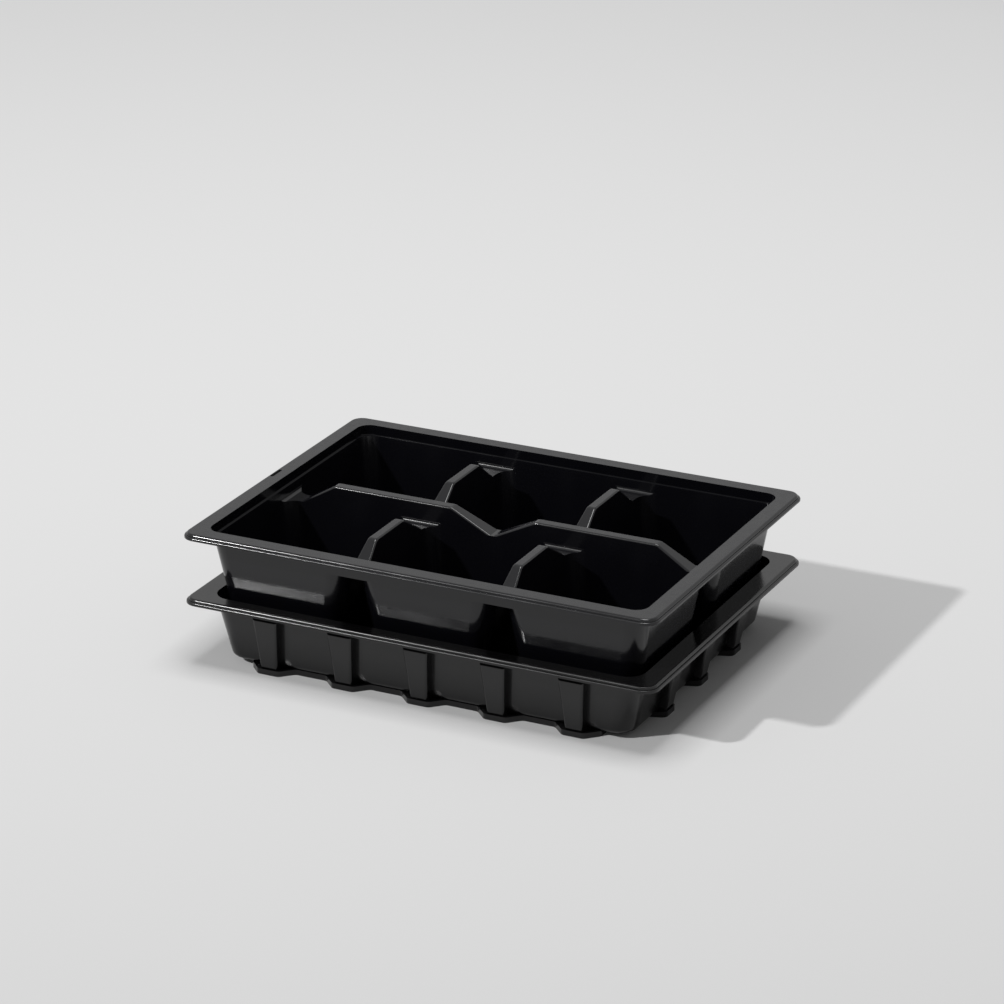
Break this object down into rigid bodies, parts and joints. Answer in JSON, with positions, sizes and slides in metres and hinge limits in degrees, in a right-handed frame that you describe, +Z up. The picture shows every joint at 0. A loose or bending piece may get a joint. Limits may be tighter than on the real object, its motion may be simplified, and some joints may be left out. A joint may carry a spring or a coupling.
{
  "type": "thermoformed plastic tray",
  "caption": "Divided plastic carry tray with deep tapered cells, standing loose in a shallow ribbed drip tray of the same outline.",
  "frame": {"origin": "centre of the footprint, on the ground plane under the drip tray", "axes": "+X along the long side, +Y to the back along the short side, +Z up; the rim slot is on the -X side"},
  "size_m": [0.314, 0.2266, 0.086],
  "materials": {
    "insert_sheet": "gloss",
    "tray_sheet": "satin"
  },
  "bodies": {
    "root": {"cell_insert": "insert_sheet", "drip_tray": "tray_sheet"}
  },
  "joints": []
}
